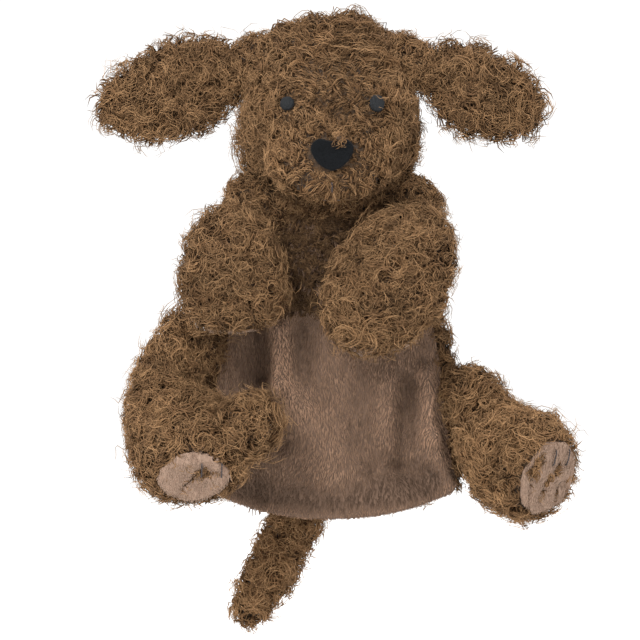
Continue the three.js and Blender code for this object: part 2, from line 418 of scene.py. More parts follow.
class Wardrobe:
    """Every finish of the puppet, made once."""

    def __init__(self) -> None:
        """Makes the materials."""
        self.curls = FibreFinish(
            "curly_fibre", (0.051, 0.026, 0.011), (0.128, 0.069, 0.031), (0.265, 0.155, 0.076),
            dark=0.45, light=1.6, sheen=0.06,
        ).make()
        self.under = FibreFinish(
            "undercoat_fibre", (0.034, 0.017, 0.008), (0.085, 0.045, 0.020), (0.150, 0.083, 0.040),
            dark=0.5, light=1.5, sheen=0.04,
        ).make()
        self.ground = GroundFinish(
            "fur_ground", (0.020, 0.012, 0.007), (0.075, 0.042, 0.020)
        ).make()
        self.nap = FibreFinish(
            "belly_fibre", (0.10, 0.057, 0.036), (0.190, 0.115, 0.074), (0.270, 0.172, 0.115),
            dark=0.22, light=1.9, sheen=0.12,
        ).make()
        self.belly = PlushFinish(
            "belly_plush", (0.06, 0.035, 0.022), (0.12, 0.073, 0.048), 0.15
        ).make()
        self.pale_nap = FibreFinish(
            "sole_fibre", (0.17, 0.108, 0.075), (0.265, 0.180, 0.128), (0.36, 0.25, 0.185),
            dark=0.5, light=1.4, sheen=0.15,
        ).make()
        self.pale = PlushFinish("sole_plush", (0.16, 0.10, 0.07), (0.28, 0.19, 0.138), 0.2).make()
        self.felt = FeltFinish(
            "nose_felt", (0.0007, 0.001, 0.0014), (0.0026, 0.0032, 0.0043)
        ).make()
        self.eye = ThreadFinish(
            "eye_thread", (0.0015, 0.002, 0.0027), (0.005, 0.0063, 0.008)
        ).make()
        self.toe = ThreadFinish("toe_thread", (0.016, 0.012, 0.012), (0.05, 0.04, 0.04)).make()
        self.lining = WeaveFinish("lining_weave", (0.09, 0.055, 0.035), (0.19, 0.13, 0.09)).make()


# ---------------------------------------------------------------- mesh helpers


def new_object(name: str, mesh: bpy.types.Mesh, material: bpy.types.Material) -> bpy.types.Object:
    """Puts a mesh in the scene with its material.

    Args:
        name: The piece's name.
        mesh: Its mesh.
        material: Its material.

    Returns:
        The new object.
    """
    mesh.name = name
    mesh.materials.clear()
    mesh.materials.append(material)
    piece = bpy.data.objects.new(name, mesh)
    bpy.context.scene.collection.objects.link(piece)
    mesh.polygons.foreach_set("use_smooth", [True] * len(mesh.polygons))
    return piece


def settled(piece: bpy.types.Object) -> bpy.types.Mesh:
    """The mesh of a piece with its modifiers applied.

    Args:
        piece: The piece, whose modifiers are left out afterwards.

    Returns:
        A new mesh.
    """
    bpy.context.view_layer.update()
    graph = bpy.context.evaluated_depsgraph_get()
    mesh = bpy.data.meshes.new_from_object(piece.evaluated_get(graph), depsgraph=graph)
    piece.modifiers.clear()
    return mesh


def sheet_mesh(name: str, points: Array, closed_across: bool = False) -> bpy.types.Mesh:
    """A mesh of quads from a grid of points.

    Args:
        name: The mesh's name.
        points: Rows by columns by 3.
        closed_across: Whether the last column joins the first.

    Returns:
        The mesh.
    """
    rows, cols = points.shape[:2]
    at = np.arange(rows * cols).reshape(rows, cols)
    right = np.roll(at, -1, axis=1)
    last = cols if closed_across else cols - 1
    quads = np.stack([at[:-1], right[:-1], right[1:], at[1:]], axis=-1)[:, :last].reshape(-1, 4)
    mesh = bpy.data.meshes.new(name)
    mesh.from_pydata(points.reshape(-1, 3).tolist(), [], quads.tolist())
    mesh.update()
    return mesh


def smoothed(points: Array, edges: Array, rounds: int, share: float = 0.5) -> Array:
    """Points drawn towards the mean of their neighbours.

    Args:
        points: Points by 3.
        edges: Pairs of point numbers.
        rounds: How many times.
        share: How far each time.

    Returns:
        The smoothed points.
    """
    ends = np.concatenate([edges, edges[:, ::-1]])
    count = np.bincount(ends[:, 0], minlength=len(points)).clip(1)[:, None]
    for _ in range(rounds):
        total = np.stack(
            [np.bincount(ends[:, 0], points[ends[:, 1], k], len(points)) for k in range(3)], axis=1
        )
        points = points + share * (total / count - points)
    return points


class Surface:
    """A mesh's points, triangles and smooth normals as arrays."""

    def __init__(self, mesh: bpy.types.Mesh) -> None:
        """Reads a mesh.

        Args:
            mesh: The mesh.
        """
        mesh.calc_loop_triangles()
        self.points = np.empty(len(mesh.vertices) * 3)
        mesh.vertices.foreach_get("co", self.points)
        self.points = self.points.reshape(-1, 3)
        self.faces = np.empty(len(mesh.loop_triangles) * 3, np.int32)
        mesh.loop_triangles.foreach_get("vertices", self.faces)
        self.faces = self.faces.reshape(-1, 3)
        a, b, c = (self.points[self.faces[:, k]] for k in range(3))
        cross = np.cross(b - a, c - a)
        self.areas = np.linalg.norm(cross, axis=1) / 2
        self.normals = np.zeros_like(self.points)
        for k in range(3):
            np.add.at(self.normals, self.faces[:, k], cross)
        self.normals = unit(self.normals)

    def scatter(self, count: int, rng: np.random.Generator) -> tuple[Array, Array]:
        """Points spread evenly over the surface.

        Args:
            count: How many.
            rng: The random source.

        Returns:
            The points and their normals.
        """
        steps = (np.arange(count) + rng.random(count)) / count
        shares = np.cumsum(self.areas) / self.areas.sum()
        pick = np.searchsorted(shares, steps).clip(0, len(self.areas) - 1)
        u, v = rng.random((2, count, 1))
        over = u + v > 1
        u, v = np.where(over, 1 - u, u), np.where(over, 1 - v, v)
        corners = self.faces[pick]
        at, out = (
            part[corners[:, 0]] * (1 - u - v) + part[corners[:, 1]] * u + part[corners[:, 2]] * v
            for part in (self.points, self.normals)
        )
        return at, unit(out)


def unit(vectors: Array) -> Array:
    """Vectors scaled to length 1."""
    return vectors / np.maximum(np.linalg.norm(vectors, axis=-1, keepdims=True), 1e-12)


def across(directions: Array, vectors: Array) -> Array:
    """The share of each vector that lies across its direction."""
    return vectors - directions * (vectors * directions).sum(-1, keepdims=True)


def slow_noise(points: Array, scale: float, seed: int) -> Array:
    """Smooth values from -1 to 1 over space, from a few crossed waves.

    Args:
        points: Points by 3, in metres.
        scale: Waves to the metre.
        seed: Which pattern.

    Returns:
        One value for each point.
    """
    rng = np.random.default_rng(seed)
    ways = unit(rng.normal(size=(7, 3)))
    rate = scale * rng.uniform(0.6, 1.6, 7) * 2 * math.pi
    phase = rng.uniform(0, 2 * math.pi, 7)
    return np.sin(points @ ways.T * rate + phase).mean(axis=1) * 1.6


# ---------------------------------------------------------------- fibres


@dataclass(frozen=True)
class Pile:
    """How fibres grow, in metres. room is the area that each fibre has to itself."""

    room: float
    height: float
    thick: float
    steps: int = 6
    lock_room: float = 26e-6
    lean: float = 0.55
    comb: float = 0.25
    curl: float = 1.9 * MM
    turns: float = 1.15
    clump: float = 0.55
    strays: float = 0.05
    bend: float = 0.5
    stir: float = 0.45
    loose: float = 0.45
    vary: float = 1.0
    tufts: float = 0.0


CURLS = Pile(
    room=1.65e-6, height=8.0 * MM, thick=0.42 * MM, steps=7, lock_room=9e-6, lean=0.6,
    curl=2.2 * MM, turns=1.45, clump=0.7, strays=0.08, stir=0.25, loose=0.3, bend=0.35,
    tufts=0.42,
)
UNDERCOAT = Pile(
    room=2.0e-6, height=6.2 * MM, thick=0.95 * MM, steps=4, lock_room=12e-6, curl=1.7 * MM,
    turns=0.8, clump=0.5, strays=0.0, stir=0.25, tufts=0.42,
)
NAP = Pile(
    room=0.8e-6, height=1.9 * MM, thick=0.38 * MM, steps=2, lock_room=7e-6, lean=0.25, comb=2.6,
    curl=0.06 * MM, turns=0.3, clump=0.25, strays=0.0, bend=0.6, vary=0.5,
)


class Locks:
    """The locks that fibres gather in: each root's share of its lock's values."""

    def __init__(self, pile: Pile, lock: Array, roots: Array, rng: np.random.Generator) -> None:
        """Draws every lock.

        Args:
            pile: How the fibres grow.
            lock: The number of each root's lock.
            roots: The roots.
            rng: The random source.
        """
        count = lock.max() + 1
        self.way = rng.normal(size=(count, 3))[lock]
        self.phase = rng.uniform(0, 2 * math.pi, count)[lock]
        self.hand = np.where(rng.random(count) < 0.5, -1.0, 1.0)[lock]
        self.turns = (pile.turns * rng.uniform(0.6, 1.35, count))[lock]
        self.curl = (pile.curl * rng.uniform(0.6, 1.4, count))[lock]
        self.size = rng.uniform(0.68, 1.2, count)[lock]
        self.shade = rng.normal(0, 0.13, count)[lock]
        middle = np.stack([np.bincount(lock, roots[:, k], count) for k in range(3)], 1)
        middle /= np.bincount(lock, minlength=count).clip(1)[:, None]
        self.middle = middle[lock]


class Coat:
    """Grows one piece of fibres on a skin."""

    def __init__(self, skin: bpy.types.Mesh, pile: Pile, seed: int) -> None:
        """Prepares to grow.

        Args:
            skin: The mesh to grow from.
            pile: How the fibres grow.
            seed: The random seed.
        """
        self.surface = Surface(skin)
        self.pile = pile
        self.rng = np.random.default_rng(seed)
        self.seed = seed

    def grow(
        self,
        name: str,
        material: bpy.types.Material,
        keep: AtRoots | None = None,
        nap: AtRoots | None = None,
        tone: AtPoints | None = None,
    ) -> list[bpy.types.Object]:
        """Grows the fibres as closed tapering tubes.

        Args:
            name: The piece's name.
            material: The fibre material.
            keep: Gives each root's length factor; a root at 0 is left bare.
            nap: Gives the direction that fibres are brushed towards at each root.
            tone: Gives how much lighter or darker the fibres are at each root.

        Returns:
            The pieces, each with fewer than MOST_FACES triangles.
        """
        pile, rng = self.pile, self.rng
        room = pile.room * 1.0
        area = self.surface.areas.sum()
        roots, out = self.surface.scatter(max(8, int(area / room)), rng)
        size = np.ones(len(roots)) if keep is None else keep(roots, out)
        grown = size > BARE
        roots, out, size = roots[grown], out[grown], size[grown]
        brush = np.zeros_like(roots) if nap is None else nap(roots, out)
        tuft = pile.tufts * slow_noise(roots, TUFT_WAVES, self.seed % 100 + 7)
        size = size * (1 + 0.75 * tuft)
        count = len(roots)

        locks = Locks(pile, self._numbers(roots, area), roots, rng)
        stray = rng.random(count) < pile.strays
        own_way = unit(across(out, rng.normal(size=(count, 3))))
        lean = unit(across(out, locks.way)) * pile.lean + own_way * pile.lean * pile.stir
        lean += across(out, brush) * pile.comb
        axis = unit(out + lean)
        height = pile.height * size * locks.size * rng.uniform(0.8, 1.15, count)
        height = np.where(stray, height * rng.uniform(1.1, 1.5, count), height)
        side_a = unit(across(axis, np.roll(axis, 1, axis=1) + 0.1))
        side_b = np.cross(axis, side_a)
        curl = locks.curl * size * rng.uniform(0.7, 1.3, count)
        phase = locks.phase + rng.normal(0, pile.loose, count)
        turn = 2 * math.pi * locks.turns * locks.hand * rng.uniform(0.85, 1.15, count)
        held = pile.clump * np.where(stray, 0.1, 1.0)[:, None]
        inward = across(out, locks.middle - roots) * held
        droop = unit(lean + 1e-6) * (pile.bend * height)[:, None]

        s = np.linspace(0, 1, pile.steps + 1)[None, :, None]
        angle = phase[:, None, None] + turn[:, None, None] * s
        swell = np.minimum(1.0, s * 2.6) * curl[:, None, None]
        ring = np.cos(angle) * side_a[:, None] + np.sin(angle) * side_b[:, None]
        start = np.cos(phase)[:, None] * side_a + np.sin(phase)[:, None] * side_b
        path = (
            roots[:, None]
            + axis[:, None] * (height[:, None, None] * s * (1 - 0.18 * s))
            + droop[:, None] * s**2
            + inward[:, None] * s**0.8
            + (ring - start[:, None] * (1 - s)) * swell * (0.7 + 0.6 * s)
        )
        path[:, 0] = roots - out * 0.3 * MM
        shade = 0.5 + pile.vary * locks.shade
        shade += 0.14 * pile.vary * slow_noise(roots, SHADE_WAVES, self.seed + 5)
        # The 0.4 * tuft term is painted light and shade: taller tufts lighter, lower ones darker.
        shade += pile.vary * rng.normal(0, 0.11, count) + np.where(stray, 0.1, 0.0) + 0.4 * tuft
        shade = (shade + (0 if tone is None else tone(roots))).clip(*SHADES)
        each = 6 * (pile.steps - 1) + 4
        parts = max(1, math.ceil(count * each / MOST_FACES))
        order = np.array_split(np.argsort(roots[:, 1] + 0.3 * roots[:, 2], kind="stable"), parts)
        names = [name] if parts == 1 else [f"{name}_{k + 1}" for k in range(parts)]
        return [
            self._tubes(label, material, path[own], axis[own], shade[own])
            for label, own in zip(names, order)
        ]

    def _numbers(self, roots: Array, area: float) -> Array:
        """The number of the lock that each root belongs to.

        Args:
            roots: The roots.
            area: The skin's area.

        Returns:
            One number for each root.
        """
        count = max(2, int(area / self.pile.lock_room))
        centres, _ = self.surface.scatter(count, self.rng)
        tree = KDTree(count)
        for number, centre in enumerate(centres):
            tree.insert(centre, number)
        tree.balance()
        nearest = np.array([tree.find(root)[1] for root in roots])
        return np.unique(nearest, return_inverse=True)[1]

    def _tubes(
        self, name: str, material: bpy.types.Material, path: Array, axis: Array, shade: Array
    ) -> bpy.types.Object:
        """Three-sided tubes along the paths, each closed at its root and drawn to a point.

        Args:
            name: The piece's name.
            material: Its material.
            path: Fibres by steps by 3.
            axis: Each fibre's main direction.
            shade: Each fibre's place across the chart.

        Returns:
            The piece.
        """
        count, rings = path.shape[0], path.shape[1] - 1
        along = unit(np.gradient(path, axis=1))
        first = unit(np.cross(along, axis[:, None] + 0.35 * np.roll(axis, 1, axis=1)[:, None]))
        second = np.cross(along, first)
        taper = (1 - 0.55 * np.linspace(0, 1, rings + 1) ** 1.5) * self.pile.thick / 2
        thick = taper[None, :, None] * self.rng.uniform(0.7, 1.25, count)[:, None, None]
        corners = [
            path + thick * (math.cos(a) * first + math.sin(a) * second)
            for a in (0, 2 * math.pi / 3, 4 * math.pi / 3)
        ]
        body = np.stack(corners, axis=2)[:, :rings].reshape(count, rings * 3, 3)
        points = np.concatenate([body, path[:, rings:]], axis=1)
        per = rings * 3 + 1

        loops: list[int] = []
        sizes: list[int] = []
        for ring in range(rings - 1):
            for k in range(3):
                a, b = ring * 3 + k, ring * 3 + (k + 1) % 3
                loops += [a, b, b + 3, a + 3]
                sizes.append(4)
        for k in range(3):
            a, b = (rings - 1) * 3 + k, (rings - 1) * 3 + (k + 1) % 3
            loops += [a, b, rings * 3]
            sizes.append(3)
        loops += [2, 1, 0]
        sizes.append(3)
        pattern = np.array(loops)
        corner = (pattern[None, :] + per * np.arange(count)[:, None]).ravel()
        begins = np.concatenate([[0], np.cumsum(sizes)[:-1]])
        starts = (begins[None, :] + len(loops) * np.arange(count)[:, None]).ravel()

        mesh = bpy.data.meshes.new(name)
        mesh.vertices.add(count * per)
        mesh.vertices.foreach_set("co", points.ravel())
        mesh.loops.add(len(corner))
        mesh.loops.foreach_set("vertex_index", corner.astype(np.int32))
        mesh.polygons.add(len(starts))
        mesh.polygons.foreach_set("loop_start", starts.astype(np.int32))
        mesh.update(calc_edges=True)
        height = np.append(np.repeat(np.arange(rings) / rings, 3), 1.0)
        offset = np.append(np.tile([-0.006, 0.0, 0.006], rings), 0.0)
        chart = np.stack(
            [
                (shade[:, None] + offset[None]).ravel(),
                np.tile(0.02 + 0.96 * height, count),
            ],
            axis=1,
        )
        layer = mesh.uv_layers.new(name=CHART)
        layer.uv.foreach_set("vector", chart[corner].ravel())
        LOG.info("%s: %d fibres, %d faces", name, count, len(starts))
        return new_object(name, mesh, material)


# ---------------------------------------------------------------- stuffed skins


def cad_mesh(nodes: Iterable[str]) -> bpy.types.Mesh:
    """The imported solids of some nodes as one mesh.

    Args:
        nodes: Node names.

    Returns:
        The joined mesh.
    """
    joined = bmesh.new()
    for node in nodes:
        joined.from_mesh(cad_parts[node].data)
    mesh = bpy.data.meshes.new("joined")
    joined.to_mesh(mesh)
    joined.free()
    return mesh


@dataclass
class StuffedSkin:
    """The ground cloth of a stuffed piece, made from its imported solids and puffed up."""

    name: str
    nodes: tuple[str, ...]
    inset: float
    voxel: float = 2.6 * MM
    rounds: int = 6
    pressure: float = 2.5
    cap: float = 3.0 * MM
    puffed: bool = True
    depth: AtPoints | None = None

    def build(self, material: bpy.types.Material) -> bpy.types.Object:
        """Fuses the solids, draws the skin in and lets its filling swell it.

        Args:
            material: The ground cloth's material.

        Returns:
            The skin.
        """
        piece = new_object(self.name, cad_mesh(self.nodes), material)
        fuse = piece.modifiers.new("fuse", "REMESH")
        fuse.mode = "VOXEL"
        fuse.voxel_size = self.voxel
        mesh = self._largest(settled(piece))
        surface = Surface(mesh)
        edges = np.empty(len(mesh.edges) * 2, np.int32)
        mesh.edges.foreach_get("vertices", edges)
        edges = edges.reshape(-1, 2)
        points = smoothed(surface.points, edges, self.rounds)
        normals = smoothed(surface.normals, edges, 4)
        share = 1.0 if self.depth is None else self.depth(points)[:, None]
        points = points - unit(normals) * self.inset * share
        points = smoothed(points, edges, 3)
        mesh.vertices.foreach_set("co", points.ravel())
        mesh.update()
        piece.data = mesh
        mesh.name = self.name
        mesh.materials.clear()
        mesh.materials.append(material)
        if self.puffed:
            self._puff(piece, points)
        piece.data.polygons.foreach_set("use_smooth", [True] * len(piece.data.polygons))
        LOG.info("%s: skin of %d points", self.name, len(piece.data.vertices))
        return piece

    @staticmethod
    def _largest(mesh: bpy.types.Mesh) -> bpy.types.Mesh:
        """Leaves out every loose bit but the biggest.

        Args:
            mesh: The mesh to clear.

        Returns:
            The same mesh.
        """
        work = bmesh.new()
        work.from_mesh(mesh)
        left, best = set(work.verts), set()
        while left:
            start = left.pop()
            group, edge = {start}, [start]
            while edge:
                vertex = edge.pop()
                for link in vertex.link_edges:
                    other = link.other_vert(vertex)
                    if other in left:
                        left.discard(other)
                        group.add(other)
                        edge.append(other)
            if len(group) > len(best):
                best = group
        bmesh.ops.delete(work, geom=[v for v in work.verts if v not in best], context="VERTS")
        work.to_mesh(mesh)
        work.free()
        return mesh

    def _puff(self, piece: bpy.types.Object, before: Array) -> None:
        """Swells the skin with a short cloth simulation and applies it.

        Args:
            piece: The skin.
            before: Its points beforehand.
        """
        cloth = piece.modifiers.new("puff", "CLOTH")
        cloth.settings.quality = 4
        cloth.settings.mass = 0.2
        cloth.settings.tension_stiffness = 12
        cloth.settings.compression_stiffness = 12
        cloth.settings.bending_stiffness = 0.6
        cloth.settings.use_pressure = True
        cloth.settings.uniform_pressure_force = self.pressure
        cloth.settings.effector_weights.gravity = 0
        cloth.point_cache.frame_start, cloth.point_cache.frame_end = 1, PUFF_FRAMES
        scene = bpy.context.scene
        for number in range(1, PUFF_FRAMES + 1):
            scene.frame_set(number)
        mesh = settled(piece)
        scene.frame_set(1)
        after = np.empty(len(mesh.vertices) * 3)
        mesh.vertices.foreach_get("co", after)
        move = after.reshape(-1, 3) - before
        far = np.linalg.norm(move, axis=1, keepdims=True)
        move *= np.minimum(1.0, self.cap / np.maximum(far, 1e-9))
        mesh.vertices.foreach_set("co", (before + move).ravel())
        mesh.update()
        piece.data = mesh
        mesh.name = self.name


# ---------------------------------------------------------------- shared workroom


@dataclass
class Workroom:
    """The finishes and what every sub-assembly needs to hand in its pieces."""

    wardrobe: Wardrobe
    log: list[str] = field(default_factory=list)

    def hand_in(
        self,
        piece: bpy.types.Object,
        body: str,
        slot: str,
        nodes: Sequence[str] = (),
        fill: float | None = None,
    ) -> None:
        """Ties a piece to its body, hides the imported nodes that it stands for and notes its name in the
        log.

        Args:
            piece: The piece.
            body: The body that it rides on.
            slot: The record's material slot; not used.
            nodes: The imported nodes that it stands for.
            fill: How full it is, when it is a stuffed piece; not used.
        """
        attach(piece, body)
        if nodes:
            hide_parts(*nodes)
        self.log.append(piece.name)


class Nearby:
    """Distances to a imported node."""

    def __init__(self, *nodes: str, mesh: bpy.types.Mesh | None = None) -> None:
        """Reads the nodes.

        Args:
            nodes: Node names.
            mesh: A mesh to read in their place.
        """
        mesh = mesh or cad_mesh(nodes)
        mesh.calc_loop_triangles()
        points = [v.co.copy() for v in mesh.vertices]
        self.tree = BVHTree.FromPolygons(points, [tuple(t.vertices) for t in mesh.loop_triangles])
        self.low = np.min([tuple(p) for p in points], axis=0)
        self.high = np.max([tuple(p) for p in points], axis=0)

    def distance(self, points: Array, reach: float = 12 * MM) -> Array:
        """How far each point is from the nodes.

        Args:
            points: The points.
            reach: The most that is looked for, and what farther points get.

        Returns:
            One distance for each point.
        """
        near = ((points > self.low - reach) & (points < self.high + reach)).all(axis=1)
        far = np.full(len(points), reach)
        for number in np.flatnonzero(near):
            hit = self.tree.find_nearest(Vector(points[number]), reach)
            if hit[3] is not None:
                far[number] = hit[3]
        return far

    def middle(self) -> Array:
        """The middle of the nodes' box."""
        return (self.low + self.high) / 2


def eased(value: Array, low: float, high: float) -> Array:
    """0 below low, 1 above high and a smooth step between."""
    t = ((value - low) / (high - low)).clip(0, 1)
    return t * t * (3 - 2 * t)


def curve_through(at: Array, places: Sequence[float], values: Sequence[float]) -> Array:
    """A smooth curve through given values.

    Args:
        at: Where to read it.
        places: Rising places.
        values: The values there.

    Returns:
        The curve's values.
    """
    x, y = np.asarray(places, float), np.asarray(values, float)
    slope = np.gradient(y, x)
    at = np.clip(at, x[0], x[-1])
    k = np.clip(np.searchsorted(x, at) - 1, 0, len(x) - 2)
    h = x[k + 1] - x[k]
    t = (at - x[k]) / h
    return (
        (2 * t**3 - 3 * t**2 + 1) * y[k]
        + (t**3 - 2 * t**2 + t) * h * slope[k]
        + (3 * t**2 - 2 * t**3) * y[k + 1]
        + (t**3 - t**2) * h * slope[k + 1]
    )


@dataclass(frozen=True)
class Fur:
    """Curly fur: an undercoat that fills and a finer topcoat of curls."""

    name: str
    body: str
    seed: int
    scale: float = 1.0
    tone: float = 0.0

    def grow(
        self,
        room: Workroom,
        skin: bpy.types.Mesh,
        keep: AtRoots | None = None,
        nap: AtRoots | None = None,
        tone: AtPoints | None = None,
    ) -> None:
        """Grows both coats and hands them in.

        Args:
            room: The workroom.
            skin: The mesh that it grows from.
            keep: Each root's length factor.
            nap: The way that it is brushed.
            tone: How much lighter or darker it is at each root.
        """

        def scaled(roots: Array, out: Array) -> Array:
            """The length factor with this fur's own scale."""
            return self.scale * (np.ones(len(roots)) if keep is None else keep(roots, out))

        def toned(roots: Array) -> Array:
            """This fur's own tone with the one given."""
            return self.tone + (0 if tone is None else tone(roots)) + np.zeros(len(roots))

        looks = room.wardrobe
        coats = (("undercoat", UNDERCOAT, looks.under), ("curls", CURLS, looks.curls))
        for number, (kind, pile, material) in enumerate(coats):
            coat = Coat(skin, pile, self.seed + 100 * number)
            for piece in coat.grow(f"{self.name}_{kind}", material, scaled, nap, toned):
                room.hand_in(piece, self.body, "curly_fur")


# ---------------------------------------------------------------- the glove


@dataclass(frozen=True)
class Fold:
    """A ridge (or, with a negative height, a valley) pressed into the belly, in mm."""

    start: tuple[float, float]
    end: tuple[float, float]
    width: float
    height: float

    def lift(self, x: Array, z: Array) -> Array:
        """How far the cloth stands out.

        Args:
            x: Places across.
            z: Places up.

        Returns:
            The lift at each place.
        """
        a, b = np.array(self.start), np.array(self.end)
        at = np.stack([x, z], axis=-1)
        t = (((at - a) @ (b - a)) / ((b - a) @ (b - a))).clip(0, 1)
        away = np.linalg.norm(at - (a + t[..., None] * (b - a)), axis=-1)
        return self.height * np.exp(-((away / self.width) ** 2))


@dataclass(frozen=True)
class Glove:
    """The body: a belly cloth and a back cloth over an oval form, in mm."""

    stations: tuple[Triple, ...] = (
        (-24, 58, 18), (0, 59.5, 18.5), (25, 60, 19.5), (50, 59, 20), (75, 55, 20.5),
        (95, 51, 20.5), (112, 44.5, 20), (124, 36.5, 19), (133, 28.5, 18), (141, 21.5, 17.3),
        (149, 18.8, 17),
    )
    belly_edge: tuple[tuple[float, float], ...] = (
        (-40, 57), (20, 56.5), (60, 53), (85, 48), (105, 43), (122, 33), (134, 24), (139, 19),
    )
    belly_top: float = 139.0
    neck_top: float = 147.0
    facing: float = 18.0
    folds: tuple[Fold, ...] = (
        Fold((-52, 88), (-53, 56), 3.4, 2.2),
        Fold((-36, 92), (-35, 60), 5.0, -8.0),
        Fold((-35, 60), (-24, 36), 5.5, -5.0),
        Fold((-14, 86), (-13, 66), 4.5, -3.0),
        Fold((-24.5, 86), (-23.5, 60), 3.6, 7.0),
        Fold((-23.5, 60), (-13, 49), 4.5, 4.6),
        Fold((36, 60), (34, 22), 4.5, -6.5),
        Fold((22, 20), (44, 17), 6.5, -4.5),
        Fold((42.5, 66), (45, 36), 4.0, 5.0),
        Fold((45, 36), (54, 14), 4.2, 4.6),
        Fold((-10, 46), (0, 16), 8.0, 2.2),
        Fold((12, 66), (16, 30), 7.0, -2.2),
        Fold((25, 64), (23, 36), 5.0, 2.4),
        Fold((-44, 40), (-36, 10), 6.0, -3.0),
    )

    def hem(self, x: Array) -> Array:
        """The height of the belly's lower edge."""
        return -2 + 13 * (np.abs(x) / 60) ** 2.2

    def section(self, z: Array) -> tuple[Array, Array]:
        """The oval's size.

        Args:
            z: Heights.

        Returns:
            Its half width and half depth at each height.
        """
        places = [s[0] for s in self.stations]
        return (
            curve_through(z, places, [s[1] for s in self.stations]),
            curve_through(z, places, [s[2] for s in self.stations]),
        )

    def edge_turn(self, z: Array) -> Array:
        """The angle from the front at which the belly's seam lies."""
        width = np.interp(z, [e[0] for e in self.belly_edge], [e[1] for e in self.belly_edge])
        return np.arcsin((width / self.section(z)[0]).clip(0, 0.995))

    def place(self, turn: Array, z: Array, inset: Array | float) -> Array:
        """Points under the form's surface.

        Args:
            turn: The angle from the front.
            z: The height.
            inset: How far inside the surface.

        Returns:
            The points, in metres.
        """
        a, b = self.section(z)
        x, y = a * np.sin(turn), -b * np.cos(turn)
        out = unit(np.stack([np.sin(turn) / a, -np.cos(turn) / b], axis=-1))
        relief = sum(fold.lift(x, z) for fold in self.folds) * eased(np.cos(turn), 0.0, 0.35)
        flat = np.stack([x, y, np.zeros_like(x)], axis=-1)
        at = (flat + z[..., None]).reshape(-1, 3) * MM
        relief = relief + 0.5 * slow_noise(at, 22.0, 3).reshape(x.shape)
        depth = (np.asarray(inset) - relief)[..., None]
        xy = np.stack([x, y], axis=-1) - out * depth
        return np.concatenate([xy, z[..., None]], axis=-1) * MM

    def belly(
        self, low: float, high: float, inset: float, roll: float, rows: int, cols: int
    ) -> Array:
        """The belly's grid of points.

        Args:
            low: Where it starts above the hem.
            high: Its top, or TO_THE_TOP for the belly's own top.
            inset: How far inside the form's surface.
            roll: Radius of the edge rolled in at the hem.
            rows: Rows of points.
            cols: Columns of points.

        Returns:
            Rows by columns by 3, in metres.
        """
        v, u = np.meshgrid(np.linspace(0, 1, rows), np.linspace(-1, 1, cols), indexing="ij")
        top = self.belly_top if high < 0 else high
        z = v * top
        turn = u * self.edge_turn(z)
        line = self.hem(self.section(z)[0] * np.sin(turn)) + low
        z = line + v * (top + (0 if high < 0 else line - low) - line)
        turn = u * self.edge_turn(z)
        grid = self.place(turn, z, inset)
        if not roll:
            return grid
        bends = []
        for angle in np.linspace(math.pi, 0.2, 7)[:-1]:
            into = inset + roll * (1 - math.cos(angle))
            bends.append(self.place(turn[:1], z[:1] - roll * math.sin(angle), into)[0])
        return np.concatenate([np.array(bends), grid])

    def back(self, low: float, high: float, inset: float, rows: int, cols: int) -> Array:
        """The back's grid of points, from one side seam round to the other.

        Args:
            low: Where it starts above the back hem.
            high: Its top, or TO_THE_TOP for the neck.
            inset: How far inside the form's surface.
            rows: Rows of points.
            cols: Columns of points.

        Returns:
            Rows by columns by 3, in metres.
        """
        v, u = np.meshgrid(np.linspace(0, 1, rows), np.linspace(0, 1, cols), indexing="ij")
        top = self.neck_top if high < 0 else high
        z = v * top
        for _ in range(2):
            seam = self.edge_turn(z) * (1 - eased(z, self.belly_top - 3, self.belly_top))
            turn = seam + u * (2 * math.pi - 2 * seam)
            line = np.maximum(self.hem(self.section(z)[0] * np.sin(turn)) + 3, 1.0) + low
            z = line + v * (top - line)
        return self.place(turn, z, inset)


def thickened(piece: bpy.types.Object, thick: float) -> None:
    """Gives a sheet its thickness, inwards.

    Args:
        piece: The sheet.
        thick: Its thickness.
    """
    solid = piece.modifiers.new("cloth", "SOLIDIFY")
    solid.thickness, solid.offset = thick, -1.0
    piece.data = settled(piece)


